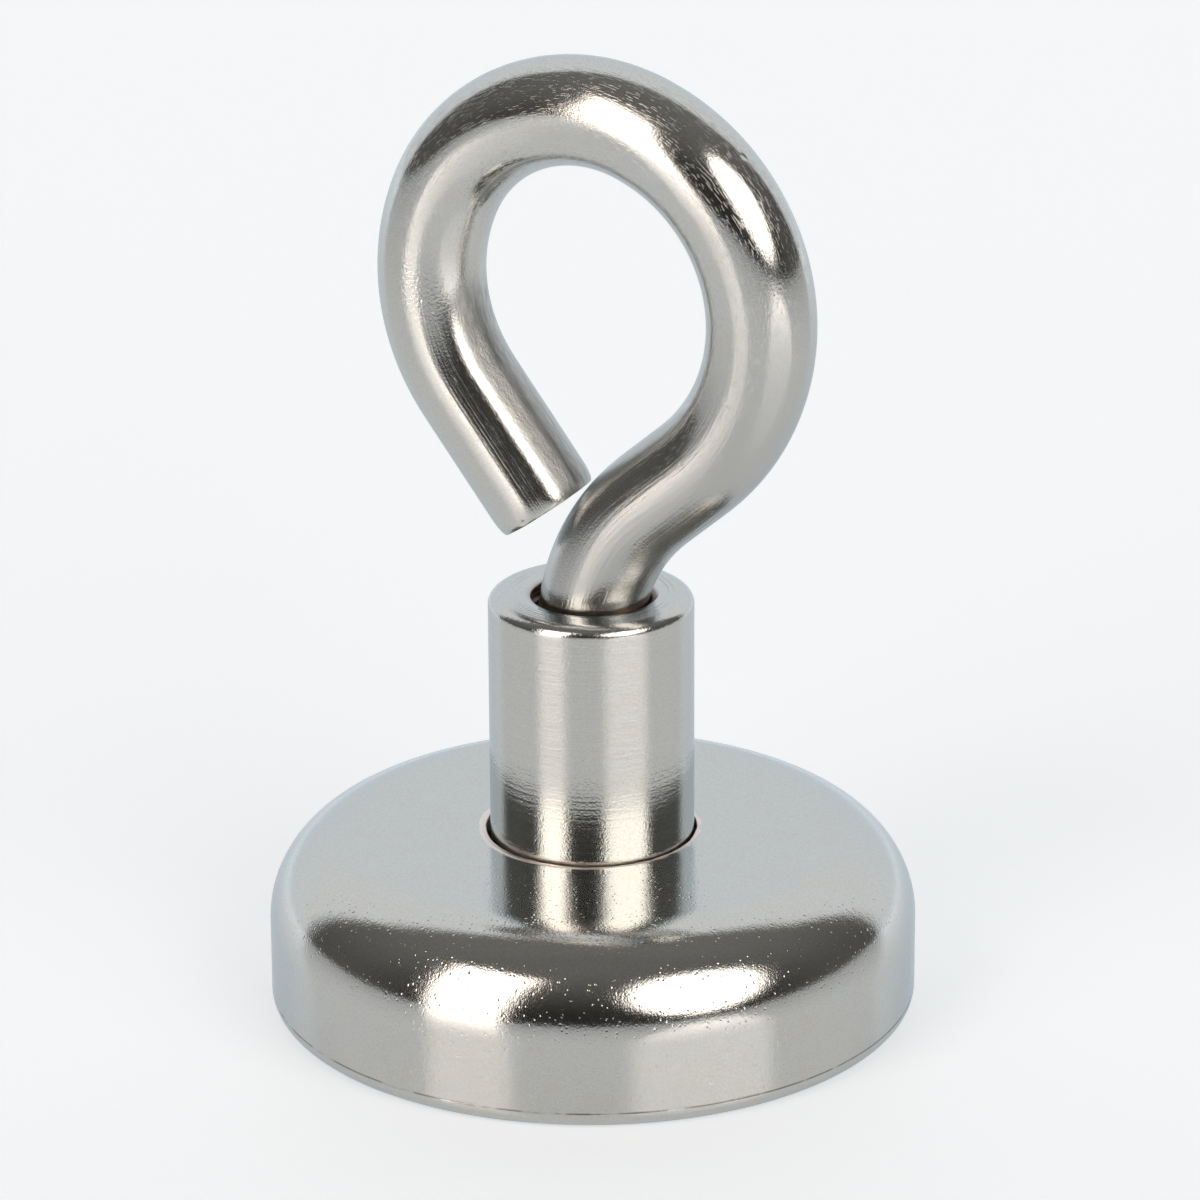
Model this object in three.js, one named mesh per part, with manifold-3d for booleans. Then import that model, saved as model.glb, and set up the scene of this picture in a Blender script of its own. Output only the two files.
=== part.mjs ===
// A magnet fishing magnet: a steel pot magnet with a threaded bush on top and an eye bolt screwed into it.
// Millimetres, +Z up. The origin is the centre of the pulling face, on the axis of the pot.
// The eye lies in the X-Z plane and its open end points down towards +X.
import * as THREE from 'three';
import { mergeVertices } from 'three/addons/utils/BufferGeometryUtils.js';
import Module from 'manifold-3d';

const wasm = await Module();
wasm.setup();

// Pot: a steel cup, open below.
const POT_RADIUS = 12.7;
const POT_HEIGHT = 7.1;
const POT_EDGE_RADIUS = 3.6;
const POT_WALL = 2.0;
const POT_TOP_PLATE = 2.6;
const POT_HOLE_RADIUS = 4.13;
const POT_HOLE_EDGE_RADIUS = 0.2;
const POT_RIM_RADIUS = 0.65;
const POT_CORNER_FILLET = 0.5;
const RECESS_CLEARANCE = 0.1;

// Bush: a turned tube with a flange that sits in a recess under the pot's top plate.
const BUSH_RADIUS = 4.0;
const BUSH_TOP = 16.9;
const BUSH_EDGE = 0.55;
const BUSH_FLANGE_RADIUS = 5.0;
const BUSH_FLANGE_HEIGHT = 1.0;
const BUSH_MOUTH_RADIUS = 2.77;
const BUSH_MOUTH_DEPTH = 0.12;
const BUSH_LEAD_IN_RADIUS = 2.42;
const BUSH_LEAD_IN_BOTTOM = 15.05;
const BUSH_THREAD_BOTTOM = 6.4;
const BUSH_DRILL_BOTTOM = 5.6;

// Magnet disc and the cured epoxy that holds it.
const MAGNET_RADIUS = 10.0;
const MAGNET_BOTTOM = 0.1;
const MAGNET_HEIGHT = 4.0;
const MAGNET_CHAMFER = 0.2;
const POTTING_BOTTOM = 0.3;

// M5 x 0.8 right-hand thread: the bolt's crests and roots, and the wider ones of the bush.
const PITCH = 0.8;
const BOLT_CREST_RADIUS = 2.45;
const BOLT_ROOT_RADIUS = 2.0;
const BUSH_CREST_RADIUS = 2.17;
const BUSH_GROOVE_RADIUS = 2.6;
const THREAD_CLEARANCE = 0.1;
const THREAD_ROWS_PER_PITCH = 6;
const HALF_FLANK_ANGLE = THREE.MathUtils.degToRad(30);
const HALF_CREST_FLAT = PITCH / 16;

// Eye bolt: one rod, with the thread on its straight shank.
const ROD_RADIUS = 2.1;
const POINT_BOTTOM = 6.9;
const POINT_RADIUS = 1.6;
const POINT_CHAMFER = 0.2;
const THREAD_BOTTOM = 8.3;
const THREAD_TOP = 14.5;
const THREAD_FADE = 0.6;
const BEND_START = 15.25;
const ROD_JOINT_OVERLAP = 0.4;
// The eye's centreline, from the shank up: a bend to the right, then arcs to the left and a straight end.
const NECK_BEND = { radius: 7.7, turn: -49 };
const NECK_STRAIGHT = 2.2;
const EYE_BENDS = [
  { radius: 7.9, turn: 117.5 },
  { radius: 6.15, turn: 86 },
  { radius: 7.9, turn: 61.5 },
];
const END_STRAIGHT = 5.65;

// Thread-lock ring round the point of the shank.
const LOCK_RING_INNER = 1.65;
const LOCK_RING_OUTER = 2.08;

const GAP = 0.04;
const WELD_DISTANCE = 1e-5;
const RADIUS_TOLERANCE = 0.01;
const POT_SEGMENTS = 48;
const POT_EDGE_STEPS = 8;
const SMALL_EDGE_STEPS = 3;
const THREAD_SEGMENTS = 24;
const ROD_SEGMENTS = 24;
const ROD_STEPS = 56;

// ---- Helpers -------------------------------------------------------------------------------------------

// Shares the vertices that coincide and drops the triangles that this leaves without area.
function weld(geometry) {
  geometry.deleteAttribute('normal');
  geometry.deleteAttribute('uv');
  const welded = mergeVertices(geometry, WELD_DISTANCE);
  const corners = welded.index.array;
  const kept = [];
  for (let i = 0; i < corners.length; i += 3) {
    const [a, b, c] = corners.slice(i, i + 3);
    if (a !== b && b !== c && c !== a) kept.push(a, b, c);
  }
  welded.setIndex(kept);
  return welded;
}

// Turns a profile of [radius, z] points about the Z axis.
function turned(profile, segments) {
  const points = profile.map(([radius, z]) => new THREE.Vector2(radius, z));
  const geometry = new THREE.LatheGeometry(points, segments);
  geometry.rotateX(Math.PI / 2);
  return weld(geometry);
}

// An arc of [radius, z] points about a centre, between two angles in degrees.
function arcPoints(centreRadius, centreZ, radius, from, to, steps) {
  return Array.from({ length: steps + 1 }, (_, i) => {
    const angle = THREE.MathUtils.degToRad(from + ((to - from) * i) / steps);
    return [centreRadius + radius * Math.cos(angle), centreZ + radius * Math.sin(angle)];
  });
}

function toManifold(geometry) {
  return new wasm.Manifold(new wasm.Mesh({
    numProp: 3,
    vertProperties: new Float32Array(geometry.attributes.position.array),
    triVerts: new Uint32Array(geometry.index.array),
  }));
}

function fromManifold(solid) {
  const mesh = solid.getMesh();
  const geometry = new THREE.BufferGeometry();
  geometry.setAttribute('position', new THREE.BufferAttribute(mesh.vertProperties, 3));
  geometry.setIndex(new THREE.BufferAttribute(mesh.triVerts, 1));
  return geometry;
}

// Moves each vertex in or out from the Z axis to newRadius(radius, angle, z).
function reshapeRadially(geometry, newRadius) {
  const position = geometry.attributes.position;
  for (let i = 0; i < position.count; i += 1) {
    const x = position.getX(i);
    const y = position.getY(i);
    const radius = Math.hypot(x, y);
    if (radius > 0) {
      const scale = newRadius(radius, Math.atan2(y, x), position.getZ(i)) / radius;
      position.setX(i, x * scale);
      position.setY(i, y * scale);
    }
  }
  return geometry;
}

// Evenly spaced heights between two ends, close enough to carry the thread.
function threadRows(bottom, top) {
  const count = Math.ceil(((top - bottom) / PITCH) * THREAD_ROWS_PER_PITCH);
  return Array.from({ length: count + 1 }, (_, i) => bottom + ((top - bottom) * i) / count);
}

// The bolt's thread as a radius: flanks of 30 degrees between a flat crest and a flat root.
function ridgeRadius(angle, z) {
  const turns = z / PITCH - angle / (2 * Math.PI);
  const fromCrest = Math.abs(turns - Math.round(turns)) * PITCH;
  return BOLT_CREST_RADIUS + (HALF_CREST_FLAT - fromCrest) / Math.tan(HALF_FLANK_ANGLE);
}

function boltRadius(angle, z) {
  return THREE.MathUtils.clamp(ridgeRadius(angle, z), BOLT_ROOT_RADIUS, BOLT_CREST_RADIUS);
}

// The bush's thread follows the bolt's, further out by the clearance.
function boreRadius(angle, z, crestRadius) {
  const ridge = ridgeRadius(angle, z) + THREAD_CLEARANCE;
  return THREE.MathUtils.clamp(ridge, crestRadius, BUSH_GROOVE_RADIUS);
}

// ---- Pot and magnet ------------------------------------------------------------------------------------

function potShell() {
  const innerRadius = POT_RADIUS - POT_WALL;
  const ceiling = POT_HEIGHT - POT_TOP_PLATE;
  const recessTop = ceiling + BUSH_FLANGE_HEIGHT + 2 * GAP;
  const recessRadius = BUSH_FLANGE_RADIUS + RECESS_CLEARANCE;
  const rim = [POT_RADIUS - POT_RIM_RADIUS, POT_RIM_RADIUS, POT_RIM_RADIUS];
  const shoulder = [POT_RADIUS - POT_EDGE_RADIUS, POT_HEIGHT - POT_EDGE_RADIUS, POT_EDGE_RADIUS];
  const lip = POT_HOLE_EDGE_RADIUS;
  const holeEdge = [POT_HOLE_RADIUS + lip, POT_HEIGHT - lip, lip];
  const corner = [innerRadius - POT_CORNER_FILLET, ceiling - POT_CORNER_FILLET, POT_CORNER_FILLET];
  return turned([
    [innerRadius, 0],
    ...arcPoints(...rim, -90, 0, SMALL_EDGE_STEPS),
    ...arcPoints(...shoulder, 0, 90, POT_EDGE_STEPS),
    ...arcPoints(...holeEdge, 90, 180, SMALL_EDGE_STEPS),
    [POT_HOLE_RADIUS, recessTop],
    [recessRadius, recessTop],
    [recessRadius, ceiling],
    ...arcPoints(...corner, 90, 0, SMALL_EDGE_STEPS),
    [innerRadius, 0],
  ], POT_SEGMENTS);
}

function magnetDisc() {
  const top = MAGNET_BOTTOM + MAGNET_HEIGHT;
  return turned([
    [0, MAGNET_BOTTOM],
    [MAGNET_RADIUS - MAGNET_CHAMFER, MAGNET_BOTTOM],
    [MAGNET_RADIUS, MAGNET_BOTTOM + MAGNET_CHAMFER],
    [MAGNET_RADIUS, top - MAGNET_CHAMFER],
    [MAGNET_RADIUS - MAGNET_CHAMFER, top],
    [0, top],
  ], POT_SEGMENTS);
}

function pottingRing() {
  const magnetCorner = MAGNET_BOTTOM + MAGNET_HEIGHT - MAGNET_CHAMFER;
  const potCorner = POT_HEIGHT - POT_TOP_PLATE - POT_CORNER_FILLET - GAP;
  const top = Math.min(magnetCorner, potCorner);
  const inner = MAGNET_RADIUS + GAP;
  const outer = POT_RADIUS - POT_WALL - GAP;
  return turned([
    [inner, POTTING_BOTTOM],
    [outer, POTTING_BOTTOM],
    [outer, top],
    [inner, top],
    [inner, POTTING_BOTTOM],
  ], POT_SEGMENTS);
}

function magnetBondLayer() {
  const radius = MAGNET_RADIUS - MAGNET_CHAMFER;
  const bottom = MAGNET_BOTTOM + MAGNET_HEIGHT + GAP;
  const top = POT_HEIGHT - POT_TOP_PLATE - GAP;
  return turned([[0, bottom], [radius, bottom], [radius, top], [0, top]], POT_SEGMENTS);
}

// ---- Bush ----------------------------------------------------------------------------------------------

function threadedBush() {
  const bottom = POT_HEIGHT - POT_TOP_PLATE + GAP;
  const threadTop = BUSH_TOP - BUSH_MOUTH_DEPTH;
  const bore = threadRows(BUSH_THREAD_BOTTOM, threadTop).reverse();
  const edge = arcPoints(BUSH_RADIUS - BUSH_EDGE, BUSH_TOP - BUSH_EDGE, BUSH_EDGE, 0, 90, SMALL_EDGE_STEPS);
  const body = turned([
    [0, bottom],
    [BUSH_FLANGE_RADIUS, bottom],
    [BUSH_FLANGE_RADIUS, bottom + BUSH_FLANGE_HEIGHT],
    [BUSH_RADIUS, bottom + BUSH_FLANGE_HEIGHT],
    ...edge,
    [BUSH_MOUTH_RADIUS, BUSH_TOP],
    ...bore.map((z) => [BUSH_CREST_RADIUS, z]),
    [0, BUSH_DRILL_BOTTOM],
  ], THREAD_SEGMENTS);
  // The first turns below the mouth are cut back into a slow lead-in cone.
  return reshapeRadially(body, (radius, angle, z) => {
    const threaded = z > BUSH_THREAD_BOTTOM - GAP && z < threadTop + GAP;
    if (!threaded || radius > BUSH_CREST_RADIUS + RADIUS_TOLERANCE) return radius;
    const leadIn = THREE.MathUtils.smoothstep(z, BUSH_LEAD_IN_BOTTOM, threadTop);
    const crest = THREE.MathUtils.lerp(BUSH_CREST_RADIUS, BUSH_LEAD_IN_RADIUS, leadIn);
    return boreRadius(angle, z, crest);
  });
}

// ---- Eye bolt ------------------------------------------------------------------------------------------

// A circular arc in the X-Z plane. It starts at a point, along a heading, and turns left by an angle.
class BendCurve extends THREE.Curve {
  constructor(start, heading, radius, turn) {
    super();
    this.start = start;
    this.heading = heading;
    this.radius = radius;
    this.turn = turn;
  }

  getPoint(t, target = new THREE.Vector3()) {
    const side = Math.sign(this.turn);
    const from = this.heading - (side * Math.PI) / 2;
    const to = from + this.turn * t;
    target.set(
      this.start.x + this.radius * (Math.cos(to) - Math.cos(from)),
      0,
      this.start.z + this.radius * (Math.sin(to) - Math.sin(from)),
    );
    return target;
  }
}

// The rod's centreline: straight up out of the shank, round the eye, and back down to the open end.
function eyeCentreline() {
  const path = new THREE.CurvePath();
  let end = new THREE.Vector3(0, 0, THREAD_TOP + THREAD_FADE - ROD_JOINT_OVERLAP);
  let heading = Math.PI / 2;
  const straight = (length) => {
    const next = new THREE.Vector3(end.x + length * Math.cos(heading), 0, end.z + length * Math.sin(heading));
    path.add(new THREE.LineCurve3(end, next));
    end = next;
  };
  const bend = ({ radius, turn }) => {
    const curve = new BendCurve(end, heading, radius, THREE.MathUtils.degToRad(turn));
    path.add(curve);
    end = curve.getPoint(1);
    heading += curve.turn;
  };
  straight(BEND_START - end.z);
  bend(NECK_BEND);
  straight(NECK_STRAIGHT);
  EYE_BENDS.forEach(bend);
  straight(END_STRAIGHT);
  return path;
}

function bentRod() {
  const section = new THREE.Shape();
  for (let i = 0; i < ROD_SEGMENTS; i += 1) {
    const angle = (2 * Math.PI * i) / ROD_SEGMENTS;
    const point = [ROD_RADIUS * Math.cos(angle), ROD_RADIUS * Math.sin(angle)];
    if (i === 0) section.moveTo(...point);
    else section.lineTo(...point);
  }
  const options = { steps: ROD_STEPS, extrudePath: eyeCentreline(), bevelEnabled: false };
  return weld(new THREE.ExtrudeGeometry(section, options));
}

// The straight shank: a plain point for the thread-lock ring, then the thread, fading out at its top.
function threadedShank() {
  const top = THREAD_TOP + THREAD_FADE;
  const shank = turned([
    [0, POINT_BOTTOM],
    [POINT_RADIUS - POINT_CHAMFER, POINT_BOTTOM],
    [POINT_RADIUS, POINT_BOTTOM + POINT_CHAMFER],
    [POINT_RADIUS, THREAD_BOTTOM],
    ...threadRows(THREAD_BOTTOM + GAP, top).map((z) => [BOLT_ROOT_RADIUS, z]),
    [0, top],
  ], THREAD_SEGMENTS);
  return reshapeRadially(shank, (radius, angle, z) => {
    if (radius < BOLT_ROOT_RADIUS - RADIUS_TOLERANCE || z <= THREAD_BOTTOM) return radius;
    const start = THREE.MathUtils.clamp((z - THREAD_BOTTOM) / THREAD_FADE, 0, 1);
    const finish = THREE.MathUtils.clamp((top - z) / THREAD_FADE, 0, 1);
    return THREE.MathUtils.lerp(BOLT_ROOT_RADIUS, boltRadius(angle, z), Math.min(start, finish));
  });
}

function eyeBolt() {
  return fromManifold(toManifold(bentRod()).add(toManifold(threadedShank())));
}

function threadLockRing() {
  const bottom = POINT_BOTTOM + 2 * GAP;
  const top = THREAD_BOTTOM - 2 * GAP;
  return turned([
    [LOCK_RING_INNER, bottom],
    [LOCK_RING_OUTER, bottom],
    [LOCK_RING_OUTER, top],
    [LOCK_RING_INNER, top],
    [LOCK_RING_INNER, bottom],
  ], THREAD_SEGMENTS);
}

// ---- Assembly ------------------------------------------------------------------------------------------

function finish(color, roughness, metalness) {
  return new THREE.MeshStandardMaterial({ color, roughness, metalness });
}

const NICKEL_PLATE = finish(0xc4c3bf, 0.16, 1.0);
const TURNED_NICKEL = finish(0xbdbbb6, 0.22, 1.0);
const BENT_NICKEL = finish(0xc2c0ba, 0.2, 1.0);
const MAGNET_NICKEL = finish(0xc6c7c9, 0.3, 1.0);
const EPOXY = finish(0x3a3b3c, 0.5, 0.0);
const THREAD_LOCK = finish(0x2c4f9a, 0.5, 0.0);

function piece(name, geometry, material) {
  geometry.computeVertexNormals();
  const mesh = new THREE.Mesh(geometry, material);
  mesh.name = name;
  return mesh;
}

const magnet = new THREE.Group();
magnet.add(
  piece('pot_shell', potShell(), NICKEL_PLATE),
  piece('threaded_bush', threadedBush(), TURNED_NICKEL),
  piece('magnet_disc', magnetDisc(), MAGNET_NICKEL),
  piece('magnet_bond_layer', magnetBondLayer(), EPOXY),
  piece('potting_ring', pottingRing(), EPOXY),
  piece('eye_bolt', eyeBolt(), BENT_NICKEL),
  piece('thread_lock_ring', threadLockRing(), THREAD_LOCK),
);

export default magnet;
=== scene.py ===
"""A magnet fishing magnet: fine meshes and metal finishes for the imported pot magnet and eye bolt.

Sizes are in millimetres until a mesh is made. The frame is the model's: +Z up, origin in the pulling face.
"""

import math

import bpy
import numpy as np
from mathutils import Matrix, Vector


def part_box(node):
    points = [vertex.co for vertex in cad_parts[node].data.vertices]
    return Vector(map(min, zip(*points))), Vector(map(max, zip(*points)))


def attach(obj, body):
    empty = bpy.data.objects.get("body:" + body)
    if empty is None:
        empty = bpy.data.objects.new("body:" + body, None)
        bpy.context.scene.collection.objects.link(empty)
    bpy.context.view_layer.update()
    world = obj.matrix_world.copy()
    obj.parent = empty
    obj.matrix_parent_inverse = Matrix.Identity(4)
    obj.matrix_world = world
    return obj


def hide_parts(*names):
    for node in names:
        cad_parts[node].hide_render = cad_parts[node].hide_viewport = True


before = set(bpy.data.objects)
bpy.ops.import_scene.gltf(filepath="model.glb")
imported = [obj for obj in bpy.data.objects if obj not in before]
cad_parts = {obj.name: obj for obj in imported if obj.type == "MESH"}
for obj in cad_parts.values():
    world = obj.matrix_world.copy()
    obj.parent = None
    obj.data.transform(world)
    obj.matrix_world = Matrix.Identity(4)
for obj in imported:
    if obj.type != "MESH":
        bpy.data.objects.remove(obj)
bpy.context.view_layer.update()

MM = 0.001


def top_corner(node):
    """Highest corner of a CAD node, in millimetres. Its x is the radius of a round piece."""
    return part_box(node)[1] / MM


def bottom_of(node):
    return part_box(node)[0].z / MM


# ---- Sizes ------------------------------------------------------------------------------------------------

POT_RADIUS = top_corner("pot_shell").x
POT_HEIGHT = top_corner("pot_shell").z
POT_EDGE_RADIUS = 3.6
POT_WALL = 2.0
POT_TOP_PLATE = 2.6
POT_HOLE_RADIUS = 4.13
POT_HOLE_EDGE_RADIUS = 0.06
POT_RIM_RADIUS = 0.65
POT_CORNER_FILLET = 0.5
LIP_WIDTH = 0.26
LIP_HEIGHT = 0.03
LIP_DROP = 0.012
LIP_SHIFT = 0.035
RIM_LINE_ABOVE = 0.05
RIM_LINE_WIDTH = 0.02
RIM_LINE_DEPTH = 0.012
CUP_MOUTH_CHAMFER = 0.08
FLANGE_GAP_ABOVE = 0.08
FLANGE_GAP_ROUND = 0.1

BUSH_RADIUS = 4.0
BUSH_TOP = top_corner("threaded_bush").z
BUSH_BOTTOM = bottom_of("threaded_bush")
BUSH_FLANGE_RADIUS = top_corner("threaded_bush").x
BUSH_FLANGE_HEIGHT = 1.0
BUSH_EDGE = 0.55
BUSH_EDGE_DROP = 0.44
FACE_RING_DEPTH = 0.0015
FACE_RING_SPACING = 0.21
BUSH_MOUTH_RADIUS = 2.77
BUSH_MOUTH_DEPTH = 0.12
BUSH_LEAD_IN_RADIUS = 2.34
BUSH_LEAD_IN_BOTTOM = 15.05
BUSH_THREAD_BOTTOM = 6.4
BUSH_DRILL_BOTTOM = 5.6

MAGNET_RADIUS = top_corner("magnet_disc").x
MAGNET_BOTTOM = bottom_of("magnet_disc")
MAGNET_TOP = top_corner("magnet_disc").z
MAGNET_EDGE = 0.25
EPOXY_SAG = 0.14
EPOXY_SPREAD = 0.1

PITCH = 0.8
BOLT_CREST_RADIUS = 2.45
BOLT_ROOT_RADIUS = 2.0
BUSH_CREST_RADIUS = 2.17
BUSH_GROOVE_RADIUS = 2.6
THREAD_CLEARANCE = 0.1
HALF_FLANK_ANGLE = math.radians(30)
HALF_CREST_FLAT = PITCH / 16

ROD_RADIUS = 2.1
POINT_BOTTOM = bottom_of("eye_bolt")
POINT_RADIUS = 1.6
POINT_EDGE = 0.2
THREAD_BOTTOM = 8.3
THREAD_TOP = 14.5
THREAD_FADE = 0.6
LOCK_RING_INNER_RADIUS = 1.65
BEND_START = 15.25
# The eye's centreline above the shank: length along it and turn to the left in degrees.
EYE_STRETCHES = [
    (7.7 * math.radians(49), -49),
    (2.2, 0),
    (7.9 * math.radians(117.5), 117.5),
    (6.15 * math.radians(86), 86),
    (7.9 * math.radians(61.5), 61.5),
    (5.65, 0),
]
BEND_EASE = 1.6
# How much the rod leans out of the eye's plane per millimetre, at lengths along it.
EYE_LEAN = [(20, 0), (23, -0.04), (28, -0.02), (31.5, 0.08), (34, 0.14), (38, 0.14), (41, 0.03), (46, -0.04)]
# Low ridges left by the bending tool: angle round the rod, start and end along it, waves round it and rise.
EYE_RIDGES = [(-131, 48.0, 60.0, 9, 0.012), (-80, 31.5, 39.0, 6, 0.014)]
# Dents in the rod: length along it, angle round it, radius and depth.
EYE_MARKS = [
    (29.8, -11, 0.17, 0.02),
    (46.8, -101, 0.09, 0.012),
    (47.4, -112, 0.07, 0.012),
    (56.6, -85, 0.2, 0.03),
]
ROD_END_EDGE = 0.17
ROD_END_ROLL = 0.85

FINE_ROUND = 256
BUSH_ROUND = 192
ROD_ROUND = 112
ROD_STEP = 0.12
CENTRELINE_STEP = 0.01
END_RINGS = 10
THREAD_STEP = PITCH / 16
AXIS_RADIUS = 0.02
SUPPORT = 0.03
STRAIGHT_STEP = 0.4


# ---- Meshes -----------------------------------------------------------------------------------------------


class Profile:
    """A chain of (radius, z) points. A straight gets close points beside its ends, so that it shades flat."""

    def __init__(self, radius, z):
        self.points = [(radius, z)]

    def line(self, radius, z, step=STRAIGHT_STEP):
        start, end = np.array(self.points[-1]), np.array((radius, z))
        length = float(np.linalg.norm(end - start))
        shares = list(np.linspace(0, 1, max(2, math.ceil(length / step) + 1)))[1:]
        if length > 4 * SUPPORT:
            shares = [SUPPORT / length, *shares[:-1], 1 - SUPPORT / length, 1]
        self.points += [tuple(start + (end - start) * share) for share in sorted(shares)]
        return self

    def arc(self, centre_radius, centre_z, radius, start, end, steps=10):
        """Angles in degrees, from the outward radius towards +Z."""
        for angle in np.radians(np.linspace(start, end, steps + 1)):
            point = (centre_radius + radius * math.cos(angle), centre_z + radius * math.sin(angle))
            if math.dist(point, self.points[-1]) > 1e-6:
                self.points.append(point)
        return self


def skin_mesh(name, rows, skin, closed=False):
    """A smooth mesh over rows of points that each run once round the piece.

    skin gives each point the cosine and sine of its angle and the length along the piece, for the materials.
    A closed mesh joins its last row to its first, and an open one gets a fan over each end.
    """
    count, around = rows.shape[:2]
    index = np.arange(count * around).reshape(count, around)
    following = np.roll(index, -1, axis=0) if closed else index[1:]
    here = index if closed else index[:-1]
    quads = np.stack([here, np.roll(here, -1, 1), np.roll(following, -1, 1), following], -1)
    faces = quads.reshape(-1, 4).tolist()
    points = rows.reshape(-1, 3)
    marks = skin.reshape(-1, 3)
    if not closed:
        points = np.vstack([points, rows[0].mean(0), rows[-1].mean(0)])
        marks = np.vstack([marks, skin[0].mean(0), skin[-1].mean(0)])
        first, last = count * around, count * around + 1
        for j in range(around):
            k = (j + 1) % around
            faces.append([first, index[0, k], index[0, j]])
            faces.append([last, index[-1, j], index[-1, k]])
    mesh = bpy.data.meshes.new(name)
    mesh.from_pydata((points * MM).tolist(), [], faces)
    attribute = mesh.attributes.new("skin", "FLOAT_VECTOR", "POINT")
    attribute.data.foreach_set("vector", marks.astype(np.float32).ravel())
    mesh.polygons.foreach_set("use_smooth", [True] * len(mesh.polygons))
    mesh.update()
    piece = bpy.data.objects.new(name, mesh)
    bpy.context.scene.collection.objects.link(piece)
    return piece


def lathe(name, profile, around, closed=False, reshape=None):
    """Turns a profile about the Z axis. reshape(radius, angle, z) may move each point in or out."""
    radius, z = np.array(profile.points).T
    if closed:
        radius, z = radius[:-1], z[:-1]
    along = np.concatenate([[0], np.cumsum(np.hypot(np.diff(radius), np.diff(z)))])
    angle = np.linspace(0, 2 * math.pi, around, endpoint=False)
    radius, height, turn = np.broadcast_arrays(radius[:, None], z[:, None], angle[None, :])
    if reshape:
        radius, height = reshape(radius.copy(), turn, height.copy())
    rows = np.stack([radius * np.cos(turn), radius * np.sin(turn), height], -1)
    skin = np.stack([np.cos(turn), np.sin(turn), np.broadcast_to(along[:, None], turn.shape)], -1)
    return skin_mesh(name, rows, skin, closed)


def smoothstep(value, low, high):
    share = np.clip((value - low) / (high - low), 0, 1)
    return share * share * (3 - 2 * share)


def waves(angle, seed, terms=7, lowest=1):
    """A smooth random curve round a circle, about -1 to 1."""
    random = np.random.default_rng(seed)
    orders = np.arange(lowest, lowest + terms)
    sizes = random.normal(size=terms) / np.sqrt(terms)
    starts = random.uniform(0, 2 * math.pi, terms)
    return sum(size * np.cos(order * angle + start) for order, size, start in zip(orders, sizes, starts))


# ---- Thread -----------------------------------------------------------------------------------------------


def ridge_radius(angle, z):
    """Radius of an M5 ridge that is nowhere cut off, for a right-hand thread."""
    turns = z / PITCH - angle / (2 * math.pi)
    from_crest = np.abs(turns - np.round(turns)) * PITCH
    return BOLT_CREST_RADIUS + (HALF_CREST_FLAT - from_crest) / math.tan(HALF_FLANK_ANGLE)


def bolt_radius(angle, z):
    """Radius of the shank from its point to the start of the bend."""
    thread = np.clip(ridge_radius(angle, z), BOLT_ROOT_RADIUS, BOLT_CREST_RADIUS)
    top = THREAD_TOP + THREAD_FADE
    share = np.clip(np.minimum(z - THREAD_BOTTOM, top - z) / THREAD_FADE, 0, 1)
    ridged = BOLT_ROOT_RADIUS + (thread - BOLT_ROOT_RADIUS) * share
    point = POINT_RADIUS - POINT_EDGE + np.minimum(z - POINT_BOTTOM, POINT_EDGE)
    plain = np.where(z < THREAD_BOTTOM, point, ridged)
    rod = BOLT_ROOT_RADIUS + (ROD_RADIUS - BOLT_ROOT_RADIUS) * smoothstep(z, THREAD_TOP, top)
    return np.where(z > THREAD_TOP, np.maximum(plain, rod), plain)


def bore_radius(radius, angle, z):
    """Cuts the bush's thread into its bore, and into the mouth where the thread runs out."""
    groove = np.minimum(ridge_radius(angle, z) + THREAD_CLEARANCE, BUSH_GROOVE_RADIUS)
    return np.where(z >= BUSH_THREAD_BOTTOM, np.maximum(radius, groove), radius), z


# ---- Pieces -----------------------------------------------------------------------------------------------


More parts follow.
